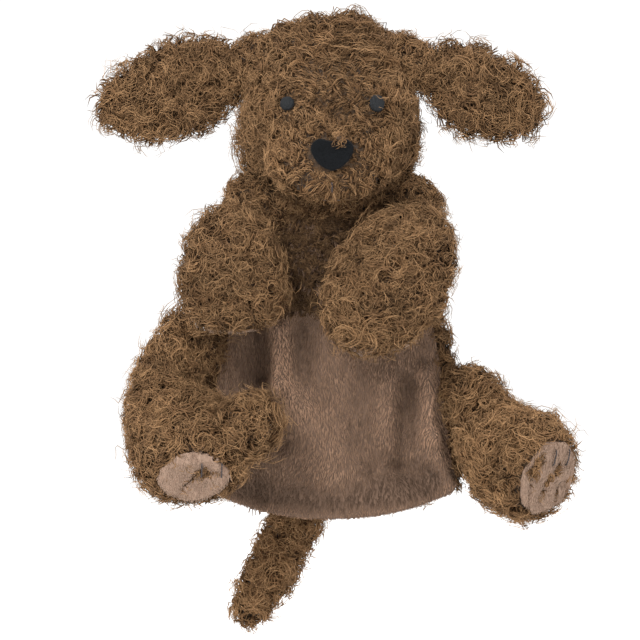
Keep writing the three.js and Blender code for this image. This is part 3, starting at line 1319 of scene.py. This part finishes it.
class Body:
    """The glove's two cloths with their turned hems."""

    def __init__(self, room: Workroom, form: Glove) -> None:
        """Keeps the form.

        Args:
            room: The workroom.
            form: The glove's form.
        """
        self.room = room
        self.form = form

    def build(self) -> None:
        """Makes the belly, the back and both facings."""
        looks = self.room.wardrobe
        grid = self.form.belly(1.0, TO_THE_TOP, 1.2, 1.3, 190, 150)
        belly = new_object("belly_cloth", sheet_mesh("belly_cloth", grid), looks.belly)
        coat = Coat(belly.data, NAP, 11)
        # The nap's tone is painted light and shade that follows the belly's folds.
        naps = coat.grow("belly_nap", looks.nap, self._nap_length, self._downwards, self._painted_fold_light_and_shade)
        # The chest curls are toned much darker: painted shade in the recess between the arms.
        Fur("chest", "torso", 13, tone=-0.62).grow(
            self.room, belly.data, self._chest_length, self._downwards
        )
        thickened(belly, 1.0 * MM)
        self.room.hand_in(belly, "torso", "short_plush", ("belly_panel",))

        grid = self.form.back(0, TO_THE_TOP, 3.2, 100, 170)
        back = new_object("back_cloth", sheet_mesh("back_cloth", grid), looks.ground)
        Fur("back", "torso", 12).grow(self.room, back.data, self._back_length, self._downwards)
        thickened(back, 1.0 * MM)
        self.room.hand_in(back, "torso", "curly_fur", ("back_panel",))
        for piece in naps:
            self.room.hand_in(piece, "torso", "short_plush")

        front = self.form.belly(1.5, self.form.facing, 3.6, 0.0, 16, 90)
        behind = self.form.back(1.5, self.form.facing + 3, 5.2, 16, 120)
        for name, points, node in (
            ("belly_facing", front, "belly_hem_facing"),
            ("back_facing", behind, "back_hem_facing"),
        ):
            piece = new_object(name, sheet_mesh(name, points), looks.lining)
            thickened(piece, 0.7 * MM)
            self.room.hand_in(piece, "torso", "lining", (node,))

    @staticmethod
    def _downwards(roots: Array, out: Array) -> Array:
        """The nap runs down, swaying a little."""
        sway = slow_noise(roots, 30.0, 8)
        return np.stack([0.35 * sway, 0 * sway, -np.ones(len(roots))], axis=1)

    def _nap_length(self, roots: Array, out: Array) -> Array:
        """The nap is worn shorter along the hem."""
        above = roots[:, 2] / MM - self.form.hem(roots[:, 0] / MM)
        return 0.45 + 0.55 * eased(above, 0.5, 6.0)

    def _painted_fold_light_and_shade(self, roots: Array) -> Array:
        """Painted light and shade on the nap: darker in the fold valleys, in a band above the hem and
        under the arms, and lighter on the fold ridges.

        Args:
            roots: The roots.

        Returns:
            The tone of each.
        """
        x, z = roots[:, 0] / MM, roots[:, 2] / MM
        relief = sum(fold.lift(x, z) for fold in self.form.folds)
        above = z - self.form.hem(x)
        # Painted shade in a band about 10 mm above the hem; the second term makes the nap a little
        # lighter right at the hem.
        low = 0.4 * np.exp(-(((above - 10) / 6) ** 2))
        low -= 0.12 * np.exp(-(((above - 1) / 2.5) ** 2))
        # Painted shade under the arms.
        painted_shade_under_arms = 0.08 * eased(z, 70, 88)
        # Painted highlight on the ridge just below the left arm, where the arm casts shade.
        ridge = 0.55 * np.exp(-(((x + 23) / 4.5) ** 2)) * eased(z, 50, 60)
        # 0.07 * relief is painted shade in the fold valleys and painted light on the fold ridges.
        return (0.07 * relief).clip(-0.14, 0.45) + ridge - low - 0.05 - painted_shade_under_arms

    @staticmethod
    def _chest_length(roots: Array, out: Array) -> Array:
        """Curls grow on the chest only, between the arms."""
        line = 0.090 + 0.004 * slow_noise(roots, 40.0, 14)
        return 0.5 * eased(roots[:, 2] - line, 0.0, 0.006)

    @staticmethod
    def _back_length(roots: Array, out: Array) -> Array:
        """The pile is a little shorter round the neck and along the seams."""
        return 0.7 + 0.3 * eased(0.140 - roots[:, 2], 0.0, 0.02)


# ---------------------------------------------------------------- stuffed limbs


@dataclass(frozen=True)
class Stitch:
    """A two-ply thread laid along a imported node."""

    name: str
    node: str
    body: str
    slot: str
    radius: float = 0.32 * MM
    proud: float = 0.0
    window: float = 1.2 * MM
    lay: float = 2.2 * MM

    def build(self, room: Workroom, material: bpy.types.Material, facing: Array) -> None:
        """Twists two plies from one end of the node to the other.

        Args:
            room: The workroom.
            material: The thread's finish.
            facing: The way that the cloth under it faces.
        """
        points = np.array([tuple(v.co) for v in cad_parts[self.node].data.vertices])
        middle = points.mean(axis=0)
        way = np.linalg.svd(points - middle, full_matrices=False)[2][0]
        along = (points - middle) @ way
        start, length = along.min(), along.max() - along.min()
        s = np.linspace(0, 1, 26)
        spine = middle + np.outer(start + length * s, way)
        for k, at in enumerate(s):
            near = np.abs(along - (start + length * at)) < self.window
            if near.any():
                local = points[near].mean(axis=0)
                spine[k] += across(way[None], (local - spine[k])[None])[0]
        out = unit(across(way[None], facing[None]))[0]
        spine = spine + np.outer(self.proud - 1.4 * MM * np.abs(2 * s - 1) ** 6, out)
        side = np.cross(way, out)
        loops = []
        for ply in (0.0, math.pi):
            turn = ply + s * length / self.lay * 2 * math.pi
            ring = np.outer(np.cos(turn), side) + np.outer(np.sin(turn), out)
            centre = spine + 0.45 * self.radius * ring
            loops.append(tube(centre, self.radius * 0.75, side, out))
        piece = new_object(self.name, join_grids(self.name, loops), material)
        room.hand_in(piece, self.body, self.slot, (self.node,))


def tube(centre: Array, radius: float, side: Array, out: Array, sides: int = 8) -> Array:
    """A round tube along a line with its ends drawn in.

    Args:
        centre: The line's points.
        radius: Its radius.
        side: One way across it.
        out: The other way across it.
        sides: Points round it.

    Returns:
        Rows by sides by 3.
    """
    a = np.linspace(0, 2 * math.pi, sides, endpoint=False)
    ring = np.outer(np.cos(a), side) + np.outer(np.sin(a), out)
    size = np.full(len(centre), radius)
    size[[0, -1]] = radius * 0.15
    return centre[:, None] + ring[None] * size[:, None, None]


def join_grids(name: str, grids: Sequence[Array]) -> bpy.types.Mesh:
    """One mesh from several closed tubes, capped at both ends.

    Args:
        name: The mesh's name.
        grids: The tubes' points.

    Returns:
        The mesh.
    """
    points: list[list[float]] = []
    faces: list[list[int]] = []
    for grid in grids:
        rows, cols = grid.shape[:2]
        base = len(points)
        points += grid.reshape(-1, 3).tolist()
        for r in range(rows - 1):
            for c in range(cols):
                d = (c + 1) % cols
                row, above = base + r * cols, base + (r + 1) * cols
                faces.append([row + c, row + d, above + d, above + c])
        faces.append([base + c for c in reversed(range(cols))])
        faces.append([base + (rows - 1) * cols + c for c in range(cols)])
    mesh = bpy.data.meshes.new(name)
    mesh.from_pydata(points, [], faces)
    mesh.update()
    return mesh


@dataclass(frozen=True)
class Pad:
    """A pale short-pile pad on a paw."""

    name: str
    node: str
    body: str
    crease: float
    seed: int
    stitches: tuple[Stitch, ...] = ()
    spread: float = 0.88

    def build(self, room: Workroom) -> Nearby:
        """Makes the pad with its creases, nap and stitches.

        Args:
            room: The workroom.

        Returns:
            Distances to the pad, for the fur round it.
        """
        looks = room.wardrobe
        skin = StuffedSkin(
            self.name, (self.node,), 0.35 * MM, voxel=1.1 * MM, rounds=5, puffed=False
        )
        piece = skin.build(looks.pale)
        mesh = piece.data
        surface = Surface(mesh)
        ridge = np.abs(slow_noise(surface.points * (1.0, 1.0, 0.5), 55.0, self.seed))
        dent = self.crease * np.exp(-((ridge / 0.2) ** 2))
        swell = 0.9 * MM * slow_noise(surface.points, 45.0, self.seed + 1)
        points = surface.points + surface.normals * (swell - dent)[:, None]
        facing = self._facing(surface)
        off = points - points.mean(axis=0)
        points = points - across(facing[None], off) * (1 - self.spread)
        mesh.vertices.foreach_set("co", points.ravel())
        mesh.update()
        room.hand_in(piece, self.body, "pale_plush", (self.node,), fill=0.7)
        nap = Coat(mesh, NAP, self.seed).grow(
            f"{self.name}_nap",
            looks.pale_nap,
            keep=lambda roots, out: 0.75 * (out @ facing > 0.1),
            nap=lambda roots, out: np.tile((0.0, 0.0, -1.0), (len(roots), 1)),
        )
        for part in nap:
            room.hand_in(part, self.body, "pale_plush")
        for stitch in self.stitches:
            stitch.build(room, looks.toe, facing)
        return Nearby(mesh=mesh)

    def _facing(self, surface: Surface) -> Array:
        """The way that the pad faces, away from its limb.

        Args:
            surface: The pad's surface.

        Returns:
            The direction.
        """
        limb = cad_mesh([self.node.rsplit("_", 1)[0] + "_stuffing"])
        inner = np.mean([tuple(v.co) for v in limb.vertices], axis=0)
        spread = surface.points - surface.points.mean(axis=0)
        thin = np.linalg.svd(spread, full_matrices=False)[2][2]
        return thin * np.sign((surface.points.mean(axis=0) - inner) @ thin)


@dataclass(frozen=True)
class Limb:
    """A stuffed piece with a curly coat and, on paws, a pad."""

    name: str
    nodes: tuple[str, ...]
    inset: float
    seed: int
    tone: float = 0.0
    pad_edge: float = 0.8 * MM
    drape: float = 0.0
    pad: Pad | None = None
    voxel: float = 2.6 * MM
    fill: float = 0.7

    def build(self, room: Workroom) -> None:
        """Makes the skin, the coat and the pad.

        Args:
            room: The workroom.
        """
        looks = room.wardrobe
        near = self.pad.build(room) if self.pad else None
        nodes = self.nodes + ((self.pad.node,) if self.pad else ())

        def depth(points: Array) -> Array:
            """The ground cloth comes up to the back of the pad.

            Args:
                points: The skin's points.

            Returns:
                The share of the inset at each.
            """
            if near is None:
                return np.ones(len(points))
            return 0.5 + 0.5 * eased(near.distance(points), 1 * MM, 5 * MM)

        skin = StuffedSkin(
            f"{self.name}_skin", nodes, self.inset, voxel=self.voxel, depth=depth
        ).build(looks.ground)
        room.hand_in(skin, self.name, "curly_fur", self.nodes, fill=self.fill)

        def keep(roots: Array, out: Array) -> Array:
            """Fur stops at the pad's edge and is short beside it.

            Args:
                roots: The roots.
                out: The way out of the skin at each.

            Returns:
                The length factor of each.
            """
            if near is None:
                return np.ones(len(roots))
            edge = self.pad_edge + 0.8 * MM * slow_noise(roots, 70.0, self.seed)
            gap = near.distance(roots + out * 1.6 * MM)
            gap = gap + self.drape * eased(-out[:, 1], 0.1, 0.5)
            return np.where(gap < edge, 0, 0.45 + 0.55 * eased(gap - edge, 0.0, 3.5 * MM))

        Fur(self.name, self.name, self.seed, tone=self.tone).grow(
            room, skin.data, keep, self._hang
        )

    @staticmethod
    def _hang(roots: Array, out: Array) -> Array:
        """Locks hang down a little."""
        return np.tile((0.0, 0.0, -0.8), (len(roots), 1))


@dataclass(frozen=True)
class FurBall:
    """A furry ball that fills a joint."""

    name: str
    body: str
    centre: Triple
    radii: Triple
    seed: int
    nodes: tuple[str, ...] = ()
    scale: float = 0.75

    def build(self, room: Workroom) -> None:
        """Makes the ball and its coat.

        Args:
            room: The workroom.
        """
        looks = room.wardrobe
        rows, cols = 22, 34
        v = np.linspace(-math.pi / 2 + 0.02, math.pi / 2 - 0.02, rows)[:, None]
        u = np.linspace(0, 2 * math.pi, cols, endpoint=False)[None]
        ball = np.stack([np.cos(v) * np.cos(u), np.cos(v) * np.sin(u), np.sin(v) + 0 * u], axis=-1)
        points = np.array(self.centre) * MM + ball * np.array(self.radii) * MM
        lumps = 0.8 * MM * slow_noise(points.reshape(-1, 3), 60.0, self.seed)
        points += ball * lumps.reshape(rows, cols, 1)
        piece = new_object(f"{self.name}_ball", join_grids(self.name, [points]), looks.ground)
        room.hand_in(piece, self.body, "curly_fur", self.nodes, fill=0.6)
        Fur(self.name, self.body, self.seed, self.scale).grow(room, piece.data)


# ---------------------------------------------------------------- the head


class Head:
    """The head with its short-furred face, felt nose, stitched eyes and mouth."""

    NODES = ("head_face_panel", "head_back_panel", "head_stuffing")
    FACE = (22 * MM, 42 * MM)
    NECK_HOLLOW = 33.5 * MM
    POCKET_RADIUS = 20.5 * MM
    POCKET_FLOOR = 0.16

    def __init__(self, room: Workroom) -> None:
        """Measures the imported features.

        Args:
            room: The workroom.
        """
        self.room = room
        self.nose = Nearby("nose_patch")
        self.eyes = {side: Nearby(f"eye_{side.value}") for side in Side}
        self.mouth = Nearby("mouth_stitch")
        neck = np.array(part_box("neck_cuff"))
        self.pivot = neck.mean(axis=0)

    def build(self) -> None:
        """Makes the skin, the coat and every feature."""
        looks = self.room.wardrobe
        skin = StuffedSkin(
            "head_skin", self.NODES, 3.6 * MM, depth=lambda points: 1 - 0.85 * self._face(points)
        ).build(looks.ground)
        self.room.hand_in(skin, "head", "curly_fur", self.NODES, fill=0.8)
        Fur("head", "head", 21).grow(
            self.room, skin.data, self._length, self._brush,
            lambda roots: 0.14 * self._face(roots) * (1 - eased(roots[:, 2], 0.165, 0.19)),
        )
        self._nose()
        for side in Side:
            self._eye(side)
        out = np.array((0.0, -1.0, -0.25))
        Stitch("mouth_thread", "mouth_stitch", "head", "eye_thread", 0.36 * MM, 1.7 * MM).build(
            self.room, looks.toe, unit(out)
        )
        self._sleeve()

    def _face(self, points: Array) -> Array:
        """Where the short-furred face is.

        Args:
            points: Points on the head.

        Returns:
            1 on the face and 0 on the rest of the head.
        """
        eyes = (self.eyes[Side.LEFT].middle() + self.eyes[Side.RIGHT].middle()) / 2
        centre = self.nose.middle() * 0.55 + eyes * 0.45
        return 1 - eased(np.linalg.norm(points - centre, axis=1), *self.FACE)

    def _length(self, roots: Array, out: Array) -> Array:
        """How long the fur is.

        Args:
            roots: The roots.
            out: The way out of the skin at each.

        Returns:
            The length factor of each.
        """
        tips = roots + out * 4 * MM
        crown = 0.42 * eased(tips[:, 2], 0.206, 0.232)
        cheek = 0.35 * eased(-tips[:, 0], 0.026, 0.038) * (1 - eased(tips[:, 2], 0.198, 0.21))
        size = 1 + crown + cheek - 0.36 * self._face(tips)
        size *= eased(self.nose.distance(tips), 0.6 * MM, 5 * MM) * 0.75 + 0.25
        size = np.where(self.nose.distance(tips) < 0.9 * MM, 0, size)
        for eye in self.eyes.values():
            gap = np.linalg.norm(tips - eye.middle(), axis=1)
            size = size * np.where(gap < 3.2 * MM, 0, 0.35 + 0.65 * eased(gap, 4 * MM, 9 * MM))
        size = np.where(self.mouth.distance(tips) < 2.4 * MM, 0.22, size)
        below = np.linalg.norm(roots - self.pivot, axis=1) < self.NECK_HOLLOW
        hollow = below & (out[:, 2] < 0.3)
        inward = ((roots[:, :2] * out[:, :2]).sum(axis=1) < 0) | (out[:, 2] < -0.2)
        pocket = np.hypot(roots[:, 0], roots[:, 1]) < self.POCKET_RADIUS
        pocket &= (roots[:, 2] > self.POCKET_FLOOR) & inward
        return np.where(hollow | pocket, 0, size)

    def _brush(self, roots: Array, out: Array) -> Array:
        """The face's fur is brushed away from the nose and off the eyes.

        Args:
            roots: The roots.
            out: The way out of the skin at each; not used.

        Returns:
            The brushed direction at each.
        """
        face = self._face(roots)[:, None]
        away = unit(roots - self.nose.middle())
        push = away * 3.2 * face
        for eye in self.eyes.values():
            off = roots - eye.middle()
            gap = np.linalg.norm(off, axis=1)[:, None]
            push = push + unit(off) * 1.4 * (1 - eased(gap, 4 * MM, 12 * MM))
        over = (roots - self.nose.middle()) / MM
        tuft = np.exp(-(((over[:, 0] - 3.5) / 3.0) ** 2 - ((over[:, 2] - 9.5) / 3.5) ** 2))[:, None]
        push = push * (1 - tuft) + tuft * np.array((0.2, 0.0, -3.0))
        return push + np.array((0.0, 0.0, -0.5))

    def _nose(self) -> None:
        """A domed felt shield with a fuzzy rim."""
        looks = self.room.wardrobe
        skin = StuffedSkin(
            "nose_felt", ("nose_patch",), 0.35 * MM, voxel=0.6 * MM, rounds=5, puffed=False
        )
        piece = skin.build(looks.felt)
        fuzz = Pile(
            room=0.9e-6, height=0.75 * MM, thick=0.16 * MM, steps=2, lock_room=1.5e-6, lean=1.0,
            comb=0.0, curl=0.1 * MM, clump=0.2, strays=0.0, bend=0.3,
        )
        for part in Coat(piece.data, fuzz, 31).grow("nose_fuzz", looks.felt):
            self.room.hand_in(part, "head", "felt")
        self.room.hand_in(piece, "head", "felt", ("nose_patch",), fill=0.9)

    def _eye(self, side: Side) -> None:
        """Satin stitch: parallel threads over a low dome.

        Args:
            side: Which eye.
        """
        eye = self.eyes[side]
        middle = eye.middle()
        out = unit(np.array((side.sign * 0.32, -1.0, 0.1)))
        lean = 0.12 if side is Side.RIGHT else -0.1
        up = unit(across(out[None], np.array([[lean, 0.0, 1.0]])))[0]
        wide = np.cross(up, out)
        radius = (eye.high[2] - eye.low[2]) / 2 * (0.96 if side is Side.RIGHT else 0.88)
        loops = []
        count, steps = 11, 13
        for k in range(count):
            x = (k + 0.5) / count * 2 - 1
            half = radius * (1 - abs(x) ** 2.6) ** 0.5 * (1.12 if side is Side.RIGHT else 1.0)
            s = np.linspace(-1, 1, steps)
            dome = 1.0 * MM * (1 - 0.6 * x * x) * (1 - np.abs(s) ** 3)
            line = (
                middle
                + np.outer(np.full(steps, x * radius * 0.95), wide)
                + np.outer(s * half, up)
                + np.outer(dome + 0.3 * MM, out)
            )
            loops.append(tube(line, radius / count * 1.3, wide, out))
        name, look = f"eye_{side.value}", self.room.wardrobe.eye
        piece = new_object(f"{name}_stitches", join_grids("eye", loops), look)
        self.room.hand_in(piece, "head", "eye_thread", (name,))

    def _sleeve(self) -> None:
        """The gathered finger sleeve inside the head."""
        low, high = (np.array(p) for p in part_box("finger_sleeve"))
        middle, radius = (low + high) / 2, (high[0] - low[0]) / 2 - 0.6 * MM
        v = np.linspace(0, 1, 30)[:, None]
        u = np.linspace(0, 2 * math.pi, 96, endpoint=False)[None]
        close = np.sqrt(1 - eased(v, 0.72, 1.0) ** 2 * 0.97)
        r = radius * close * (1 + 0.035 * np.cos(14 * u) * (1 - v))
        z = low[2] + 0.5 * MM + (high[2] - low[2] - 1.5 * MM) * v + 0 * u
        grid = np.stack([middle[0] + r * np.cos(u), middle[1] + r * np.sin(u), z], axis=-1)
        mesh = sheet_mesh("finger_tube", grid, closed_across=True)
        piece = new_object("finger_tube", mesh, self.room.wardrobe.lining)
        thickened(piece, 0.6 * MM)
        self.room.hand_in(piece, "sleeve", "lining", ("finger_sleeve",))


# ---------------------------------------------------------------- stage


@dataclass(frozen=True)
class Stage:
    """A pale floor, soft studio light and the camera."""

    floor_drop: float = 6 * MM
    distance: float = 1.636
    lens: float = 200.0
    aim: Triple = (-0.0055, -0.025, 0.0897)

    def build(self) -> None:
        """Sets the floor, the lights, the world and the camera."""
        low, high = (np.array(p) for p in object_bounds())
        self._floor(low[2] - self.floor_drop)
        self._world()
        middle = Vector((0.0, 0.0, float(high[2] + low[2]) / 2))
        self._light("key", (-0.65, -1.35, 1.0), middle, 0.55, 32.0)
        self._light("fill", (0.9, -1.5, 0.0), middle, 0.9, 10.0)
        self._light("top", (0.1, 0.25, 1.5), middle, 0.8, 16.0)
        bpy.context.scene.view_settings.view_transform = "Standard"
        camera = bpy.data.objects.new("camera", bpy.data.cameras.new("camera"))
        camera.data.lens = self.lens
        camera.data.sensor_width = 36.0
        camera.data.clip_end = 50.0
        camera.location = (self.aim[0], self.aim[1] - self.distance, self.aim[2])
        camera.rotation_euler = (math.pi / 2, 0.0, 0.0)
        bpy.context.scene.collection.objects.link(camera)
        bpy.context.scene.camera = camera

    @staticmethod
    def _floor(height: float) -> None:
        """A large pale disc.

        Args:
            height: Where it lies.
        """
        maker = Maker("floor_paper")
        grain = maker.noise(30.0, 3.0)
        colour = maker.ramp(grain, [(0.0, (0.93, 0.93, 0.93)), (1.0, (0.96, 0.96, 0.96))])
        material = maker.surface(colour, 0.95)
        u = np.linspace(0, 2 * math.pi, 96, endpoint=False)[None]
        r = np.array([0.001, 0.5, 2.0, 9.0])[:, None]
        grid = np.stack([r * np.cos(u), r * np.sin(u), np.full((4, 96), height)], axis=-1)
        new_object("floor", sheet_mesh("floor", grid, closed_across=True), material)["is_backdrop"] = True

    @staticmethod
    def _world() -> None:
        """A plain white surround."""
        world = bpy.data.worlds.new("surround")
        world.use_nodes = True
        background = world.node_tree.nodes["Background"]
        background.inputs["Color"].default_value = (1.0, 1.0, 1.0, 1.0)
        background.inputs["Strength"].default_value = 1.1
        bpy.context.scene.world = world

    @staticmethod
    def _light(name: str, place: Sequence[float], aim: Vector, size: float, power: float) -> None:
        """A square soft light.

        Args:
            name: Its name.
            place: Where it hangs.
            aim: What it points at.
            size: Its side.
            power: Its power in watts.
        """
        data = bpy.data.lights.new(name, "AREA")
        data.size, data.energy = size, power
        lamp = bpy.data.objects.new(name, data)
        lamp.location = place
        lamp.rotation_euler = (aim - Vector(place)).to_track_quat("-Z", "Y").to_euler()
        bpy.context.scene.collection.objects.link(lamp)


# ---------------------------------------------------------------- assembly


def ears() -> list[Limb]:
    """Both ears.

    Returns:
        The ears.
    """
    made = []
    for s in Side:
        name = f"ear_{s.value}"
        leaves = (f"{name}_front", f"{name}_back")
        made.append(Limb(name, leaves, 1.8 * MM, 40 + s.sign, voxel=2.0 * MM, fill=0.3))
    return made


def arms() -> list[Limb]:
    """Both arms with their palms.

    Returns:
        The arms.
    """
    made = []
    for s in Side:
        name = f"arm_{s.value}"
        pad = Pad(f"{name}_pad", f"{name}_palm", name, 0.5 * MM, 50 + s.sign, spread=1.0)
        fur = (f"{name}_fur", f"{name}_stuffing")
        edge, drape = (2.2 * MM, 0.0) if s is Side.LEFT else (0.9 * MM, 6 * MM)
        made.append(
            Limb(name, fur, 3.8 * MM, 55 + s.sign, pad_edge=edge, drape=drape, pad=pad, fill=0.8)
        )
    return made


def legs() -> list[Limb]:
    """Both legs with their soles and toe stitches.

    Returns:
        The legs.
    """
    made = []
    for s in Side:
        name = f"leg_{s.value}"
        stitches = tuple(
            Stitch(f"{name}_{toe}_thread", f"{name}_toe_{toe}", name, "toe_thread")
            for toe in ("inner", "outer")
        )
        spread, tone = (0.96, 0.1) if s is Side.LEFT else (0.9, 0.22)
        pad = Pad(f"{name}_pad", f"{name}_sole", name, 1.5 * MM, 60 + s.sign, stitches, spread)
        fur = (f"{name}_fur", f"{name}_stuffing")
        made.append(
            Limb(
                name, fur, 3.8 * MM, 65 + s.sign, tone=tone, pad_edge=0.9 * MM, pad=pad, fill=0.8
            )
        )
    return made


def balls() -> list[FurBall]:
    """The furry balls in the neck, shoulders and hips, and the tufts.

    Returns:
        The balls.
    """
    nose_low, nose_high = (np.array(p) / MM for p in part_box("nose_patch"))
    tuft = (nose_high[0] - 6.5, nose_low[1] + 0.6, nose_high[2] - 0.6)
    made = [
        FurBall("collar", "neck", (0, 0, 150), (22.5, 21, 17), 71, ("neck_cuff",)),
        FurBall("nose_tuft", "head", tuft, (1.7, 1.0, 1.6), 98, scale=0.4),
        FurBall("foot_tuft", "leg_left", (-37, -50, 42), (10, 10, 11), 99, scale=0.95),
    ]
    for s in Side:
        for name, body, x, y, z, radii, seed in (
            ("shoulder_tuft", "torso", 34.0, -4, 143, (14, 12, 13), 90),
            ("ear_root", "head", 33.0, 3, 209, (11, 10, 12), 94),
        ):
            centre = (x * s.sign, y, z)
            made.append(FurBall(f"{name}_{s.value}", body, centre, radii, seed + s.sign))
        for part, radius in (("shoulder", 11.0), ("hip", 9.5)):
            node = f"{part}_{s.value}"
            middle = np.array(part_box(node)).mean(axis=0) / MM
            made.append(FurBall(node, node, tuple(middle), (radius,) * 3, 75 + s.sign, (node,)))
    return made


def main() -> None:
    """Builds the puppet, piece by piece, and the stage round it."""
    logging.basicConfig(level=logging.INFO, format="%(message)s")
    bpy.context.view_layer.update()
    room = Workroom(Wardrobe())
    Body(room, Glove()).build()
    Head(room).build()
    for part in (*ears(), *arms(), *legs(), *balls()):
        part.build(room)
    # The tail's tone of 1.0 makes it much lighter: painted light, as it lies in the body's shade.
    Limb("tail", ("tail_fur", "tail_stuffing"), 2.4 * MM, 81, tone=1.0, fill=0.6).build(room)
    LOG.info("%d pieces", len(room.log))
    Stage().build()


if __name__ == "__main__":
    main()
